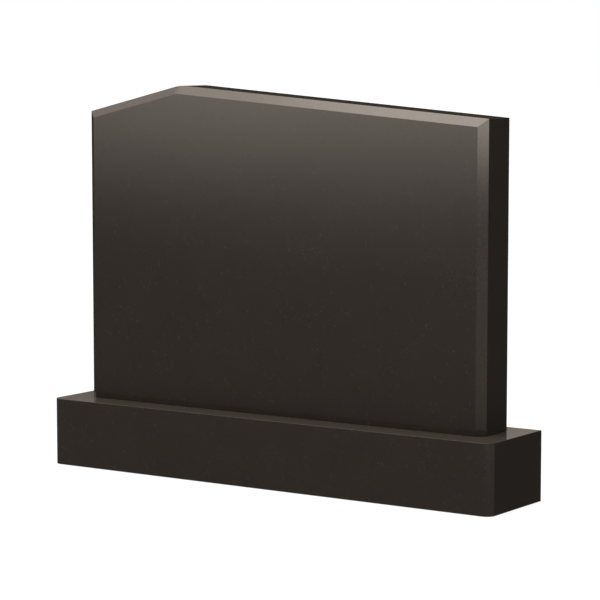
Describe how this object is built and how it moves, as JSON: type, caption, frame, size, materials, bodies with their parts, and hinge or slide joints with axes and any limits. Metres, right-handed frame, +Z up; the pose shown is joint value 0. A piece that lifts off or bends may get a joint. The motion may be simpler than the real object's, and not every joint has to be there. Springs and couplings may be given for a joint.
{
  "type": "headstone",
  "caption": "Polished dark granite headstone: a wide upright slab with an off-centre peak and a chamfered front, standing on a plain rectangular base. Blank face.",
  "frame": {"origin": "middle of the base's underside, which rests on the ground", "axes": "+Z up; the blank front face looks towards -Y; +X runs to the right of someone who faces the front"},
  "size_m": [1.14, 0.215, 0.8595],
  "materials": {
    "tablet": "polished",
    "base": "polished"
  },
  "bodies": {
    "root": {"tablet": "tablet", "base": "base"}
  },
  "joints": []
}
